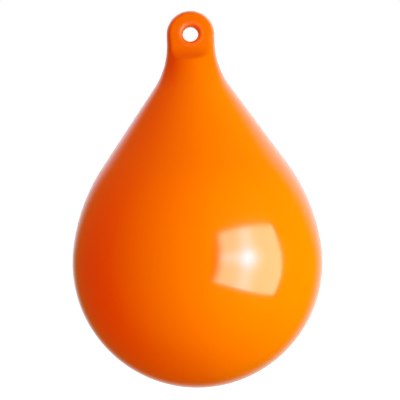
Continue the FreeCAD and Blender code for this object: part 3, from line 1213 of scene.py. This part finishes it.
def stand_for(
    piece: bpy.types.Object, node: str, finish: bpy.types.Material
) -> bpy.types.Object:
    """Dress a modelled piece and let it ride on the frame's one body in the stead of its node.

    Args:
        piece: The piece.
        node: The node that it stands for.
        finish: Its material.

    Returns:
        The piece.
    """
    piece.data.materials.append(finish)
    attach(piece, "root")
    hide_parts(node)
    return piece


# ------------------------------------------------------------------------------ the studio


@dataclass
class Softbox:
    """A large soft panel with fading edges that lights a point from one side.

    Its cloth can have a lamp behind it that shows through: an upright tube, a level arm and a bulb.
    Its upright edges can bow, so that their middles stand out to +X beyond their ends.
    """

    name: str
    target: Vector
    azimuth: float
    elevation: float
    distance: float
    width: float
    height: float
    strength: float
    colour: Colour = (1.0, 1.0, 1.0)
    turn: float = 0.0
    tip: float = 0.0
    roll: float = 0.0
    bow: float = 0.0
    side_fade: float = 0.06
    fade: float = 0.06
    tube_gain: float = 0.0
    tube_place: float = 0.0
    tube_radius: float = 0.08
    arm_gain: float = 0.0
    arm_radius: float = 0.055
    bulb_gain: float = 0.0
    bulb_place: Place = (0.0, 0.0)
    bulb_radius: Pair = (0.09, 0.077)
    gloss_gain: float = 1.0
    cloth_tint: Colour = (1.0, 1.0, 1.0)
    bulb_tint: Colour = (1.0, 1.0, 1.0)

    def build(self) -> None:
        """Hang the panel where the camera doesn't see it."""
        level = math.cos(self.elevation)
        ray = Vector((
            math.sin(self.azimuth) * level,
            -math.cos(self.azimuth) * level,
            math.sin(self.elevation),
        ))
        left, right, half = -self.width / 2 - self.bow, self.width / 2, self.height / 2
        corners = [(left, -half), (right, -half), (right, half), (left, half)]
        panel = sheet(self.name, corners, self._glow())
        facing = ray.to_track_quat("Z", "Y").to_matrix().to_4x4()
        for angle, axis in ((self.turn, "Y"), (self.tip, "X"), (self.roll, "Z")):
            facing = facing @ Matrix.Rotation(angle, 4, axis)
        panel.matrix_world = Matrix.Translation(self.target + ray * self.distance) @ facing
        panel.visible_camera = False
        panel.visible_glossy = self.gloss_gain > 0.0

    def _glow(self) -> bpy.types.Material:
        """The panel's light, on the side that faces the object.

        Returns:
            The material.
        """
        nodes = Nodes.of_material(f"{self.name}_glow")
        place = nodes.add("SeparateXYZ")
        nodes.join(nodes.add("TexCoord").outputs["Object"], place.inputs["Vector"])
        across, up = place.outputs["X"], place.outputs["Y"]
        swing = nodes.times(nodes.times(up, up), self.bow / (self.height / 2) ** 2)
        bowed = nodes.plus(across, swing)
        level = nodes.times(
            self._edges(nodes, bowed, self.width / 2, (self.side_fade, self.fade)),
            self._edges(nodes, up, self.height / 2, (self.fade, self.fade)),
        )
        lamp = self._lamp(nodes, across, up)
        gloss = nodes.add("LightPath").outputs["Is Glossy Ray"]
        gain = nodes.remap(gloss, (0.0, 1.0), (self.strength, self.strength * self.gloss_gain))
        seen = nodes.mix(lamp, self.cloth_tint, self.bulb_tint)
        glow = nodes.add("Emission")
        nodes.join(nodes.mix(gloss, self.colour, seen), glow.inputs["Color"])
        strength = nodes.times(nodes.times(level, nodes.plus(lamp, 1.0)), gain)
        nodes.join(strength, glow.inputs["Strength"])
        dark = nodes.add("Emission", Strength=0.0).outputs["Emission"]
        inner = nodes.add("NewGeometry").outputs["Backfacing"]
        nodes.finish(nodes.choose(inner, dark, glow.outputs["Emission"]))
        return nodes.owner

    def _lamp(self, nodes: Nodes, across: Socket, up: Socket) -> Socket:
        """Work out how much the lamp behind the cloth adds: its tube, its arm and its bulb.

        Args:
            nodes: The material's nodes.
            across: The place across the panel.
            up: The place up the panel.

        Returns:
            The light added, as a share of the cloth's own.
        """
        x, y = self.bulb_place
        tube = self._bell(nodes, across, self.tube_place, self.tube_radius)
        arm_end = (x - self.arm_radius, x + self.arm_radius)
        arm = nodes.times(
            self._bell(nodes, up, y, self.arm_radius),
            nodes.remap(across, arm_end, (1.0, 0.0), smooth=True),
        )
        bulb = nodes.times(
            self._bell(nodes, across, x, self.bulb_radius[0]),
            self._bell(nodes, up, y, self.bulb_radius[1]),
        )
        lines = nodes.plus(nodes.times(tube, self.tube_gain), nodes.times(arm, self.arm_gain))
        return nodes.plus(lines, nodes.times(bulb, self.bulb_gain))

    def _edges(self, nodes: Nodes, value: Socket, half: float, fades: Pair) -> Socket:
        """Fade the light towards two opposite edges.

        Args:
            nodes: The material's nodes.
            value: The place across the panel.
            half: Half the panel's size in that direction.
            fades: How far the fade reaches in from the lower and from the upper edge.

        Returns:
            A share of the light, 0 at the edges and 1 between the fades.
        """
        low = nodes.remap(value, (-half, -half + fades[0]), (0.0, 1.0), smooth=True)
        high = nodes.remap(value, (half - fades[1], half), (1.0, 0.0), smooth=True)
        return nodes.times(low, high)

    def _bell(self, nodes: Nodes, value: Socket, centre: float, radius: float) -> Socket:
        """Add a bell curve over a place on the panel.

        Args:
            nodes: The material's nodes.
            value: The place.
            centre: Where the curve is 1.
            radius: How far from there it falls to about a third.

        Returns:
            The curve's value.
        """
        reach = nodes.math("DIVIDE", nodes.math("SUBTRACT", value, centre), radius)
        return nodes.math("EXPONENT", nodes.times(nodes.times(reach, reach), -1.0))


@dataclass
class Studio:
    """The white sweep, the surroundings, the soft light and the camera."""

    outline: DropOutline
    floor_drop: float = 0.45
    floor_half: float = 8.0
    floor_colour: Colour = (0.5, 0.5, 0.5)
    floor_glow: Pair = (0.80, 0.985)
    floor_glow_span: Pair = (0.4, 2.2)
    room: Colour = (0.06, 0.05, 0.0)
    room_parts: tuple[tuple[Triple, Colour], ...] = (
        ((0.0, 0.0, 1.0), (0.46, 0.07, 0.0)),
        ((0.0, 0.0, -1.0), (0.44, 0.0, 0.0)),
        ((1.0, 0.0, 0.0), (0.55, 0.55, 0.0)),
        ((0.0, -1.0, 0.0), (0.52, 0.52, 0.0)),
        ((-0.35, 0.80, 0.50), (0.0, 0.19, 0.03)),
    )
    backdrop_span: Pair = (0.78, 1.08)
    backdrop_top: Triple = (0.12, 1.0, 0.45)
    backdrop_foot: Triple = (0.12, 1.0, -0.08)
    camera_distance: float = 1.3
    frame_width: float = 0.2574
    lean: float = math.radians(1.75)
    aim: Place = (-0.00167, -0.0405)
    sensor: float = 36.0

    def build(self) -> None:
        """Set up floor, surroundings, light and camera."""
        self._floor()
        self._surroundings()
        ball = Vector((0.0, 0.0, self.outline.ball_centre[1]))
        Softbox(
            name="key_softbox",
            target=ball,
            azimuth=math.radians(44.3),
            elevation=math.radians(2.4),
            distance=0.60,
            width=0.76,
            height=0.535,
            strength=2.35,
            turn=math.radians(10.2),
            tip=math.radians(8.9),
            roll=math.radians(-4.6),
            bow=0.05,
            side_fade=0.15,
            fade=0.02,
            tube_gain=0.5,
            tube_place=-0.02,
            arm_gain=0.5,
            bulb_gain=1.15,
            bulb_place=(0.015, 0.018),
            gloss_gain=2.1,
            cloth_tint=(1.0, 1.0, 0.70),
            bulb_tint=(1.0, 0.80, 1.05),
        ).build()
        Softbox(
            name="fill_card",
            target=ball,
            azimuth=math.radians(-60.0),
            elevation=0.0,
            distance=0.7,
            width=2.0,
            height=2.4,
            strength=0.80,
            colour=(1.0, 0.01, 0.0),
            gloss_gain=0.0,
        ).build()
        self._camera()

    def _floor(self) -> None:
        """Lay the white floor, well below the hanging float and see-through from underneath."""
        half = self.floor_half
        corners = [(-half, -half), (half, -half), (half, half), (-half, half)]
        floor = sheet("floor", corners, self._sweep())
        floor.location.z = self.outline.bottom - self.floor_drop

    def _sweep(self) -> bpy.types.Material:
        """The floor's finish: white with a faint shadow to the eye, and the room to the float.

        Returns:
            The material.
        """
        nodes = Nodes.of_material("white_sweep")
        place = nodes.add("NewGeometry").outputs["Position"]
        away = nodes.vector("LENGTH", place).outputs["Value"]
        lit = nodes.add("Emission", Color=(1.0, 1.0, 1.0, 1.0))
        nodes.join(nodes.remap(away, self.floor_glow_span, self.floor_glow), lit.inputs["Strength"])
        bright = nodes.add("AddShader")
        paint = nodes.add("BsdfDiffuse", Color=(*self.floor_colour, 1.0))
        nodes.join(paint.outputs["BSDF"], bright.inputs[0])
        nodes.join(lit.outputs["Emission"], bright.inputs[1])

        ball = (0.0, 0.0, self.outline.ball_centre[1])
        ray = nodes.vector("SUBTRACT", place, ball).outputs["Vector"]
        unit = nodes.vector("NORMALIZE", ray).outputs["Vector"]
        room = nodes.add("Emission", Strength=1.0)
        nodes.join(self._backdrop(nodes, unit), room.inputs["Color"])
        seen = nodes.add("LightPath").outputs["Is Camera Ray"]
        above = nodes.choose(seen, room.outputs["Emission"], bright.outputs["Shader"])
        under = nodes.add("NewGeometry").outputs["Backfacing"]
        clear = nodes.add("BsdfTransparent").outputs["BSDF"]
        nodes.finish(nodes.choose(under, above, clear))
        return nodes.owner

    def _backdrop(self, nodes: Nodes, ray: Socket) -> Socket:
        """The colour that the float sees in a direction: a white backdrop behind, a dim room before.

        Args:
            nodes: The nodes to add to.
            ray: The direction, of length 1.

        Returns:
            The colour.
        """
        top, foot = nodes.along(ray, self.backdrop_top), nodes.along(ray, self.backdrop_foot)
        behind = nodes.remap(nodes.most(top, foot), self.backdrop_span, (0.0, 1.0), smooth=True)
        return nodes.mix(behind, self._room(nodes, ray), (1.0, 1.0, 1.0))

    def _room(self, nodes: Nodes, ray: Socket) -> Socket:
        """The colour of the warm room in front: its walls, its ceiling, its floor and its lit side.

        Args:
            nodes: The nodes to add to.
            ray: The direction, of length 1.

        Returns:
            The colour.
        """
        red, green, blue = self.room
        total = nodes.add("CombineXYZ", X=red, Y=green, Z=blue).outputs["Vector"]
        for way, colour in self.room_parts:
            part = nodes.add("VectorMath", operation="SCALE")
            part.inputs[0].default_value = colour
            nodes.join(nodes.most(nodes.along(ray, way), 0.0), part.inputs["Scale"])
            total = nodes.vector("ADD", total, part.outputs["Vector"]).outputs["Vector"]
        return total

    def _surroundings(self) -> None:
        """Make the world white to the eye, with a white backdrop and a dim room to the float."""
        nodes = Nodes.of_world("studio")
        white = nodes.add("Background", Color=(1.0, 1.0, 1.0, 1.0))
        room = nodes.add("Background")
        ray = nodes.add("TexCoord").outputs["Generated"]
        nodes.join(self._backdrop(nodes, ray), room.inputs["Color"])
        seen = nodes.add("LightPath").outputs["Is Camera Ray"]
        nodes.finish(nodes.choose(seen, room.outputs["Background"], white.outputs["Background"]))

    def _camera(self) -> None:
        """Set the camera level in front, so that the float stands where it should, a little tilted."""
        data = bpy.data.cameras.new("camera")
        data.sensor_width = self.sensor
        data.lens = self.sensor * self.camera_distance / self.frame_width
        camera = link("camera", data)
        across, up = self.aim
        cosine, sine = math.cos(self.lean), math.sin(self.lean)
        x = -(across * cosine + up * sine)
        z = self.outline.ball_centre[1] - (up * cosine - across * sine)
        camera.location = (x, -self.camera_distance, z)
        camera.rotation_euler = (math.radians(90.0), self.lean, 0.0)
        bpy.context.scene.camera = camera


# ------------------------------------------------------------------------------ assembly


def outline_from_frame() -> DropOutline:
    """Work out the drop's outline from the boxes of the frame's half shell and weld bead.

    Returns:
        The outline.
    """
    low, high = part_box("front_half_shell")
    bead_low, bead_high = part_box("seam_bead")
    ball = (high[0] - low[0]) / 2
    proud = (bead_high[0] - bead_low[0]) / 2 - ball
    ball, lug = round(ball, 4), round(bead_high[2] - proud, 4)
    LOG.info("ball radius %.1f mm, lug radius %.1f mm", ball * 1000, lug * 1000)
    return DropOutline(ball_radius=ball, lug_radius=lug)


def main() -> None:
    """Build the float's pieces in order, then the studio round it."""
    logging.basicConfig(level=logging.INFO, format="%(message)s")
    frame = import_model()
    eye = next(mount for mount in frame["record"]["mounts"] if mount["name"] == "rope_eye")
    eye_radius = eye["dims"]["r_mm"] / 1000
    outline = outline_from_frame()
    face = LugFace(outline.cone_angle)
    body = MouldedPlastic(
        name="orange_plastic",
        colour=(1.0, 0.265, 0.0),
        deep_colour=(0.98, 0.25, 0.0),
    )
    weld = MouldedPlastic(
        name="orange_weld",
        colour=(0.95, 0.225, 0.0),
        deep_colour=(0.86, 0.19, 0.0),
        roughness=0.30,
        scuffed_roughness=0.38,
        coat=0.10,
    )
    stopper = MouldedPlastic(
        name="orange_plug",
        colour=(0.95, 0.235, 0.0),
        deep_colour=(0.90, 0.21, 0.0),
        roughness=0.28,
        scuffed_roughness=0.36,
        coat=0.15,
    )
    plastic = body.material()
    pieces = [HalfShell(outline, side, plastic, eye_radius, face).build() for side in Side]
    pieces.append(SeamBead(outline, weld.material()).build())
    pieces.append(FillerPlug(outline, stopper.material()).build())
    for piece in pieces:
        LOG.info("%s: %d faces", piece.name, len(piece.data.polygons))
    Studio(outline).build()
    bpy.context.scene.view_settings.view_transform = "Standard"


if __name__ == "__main__":
    main()
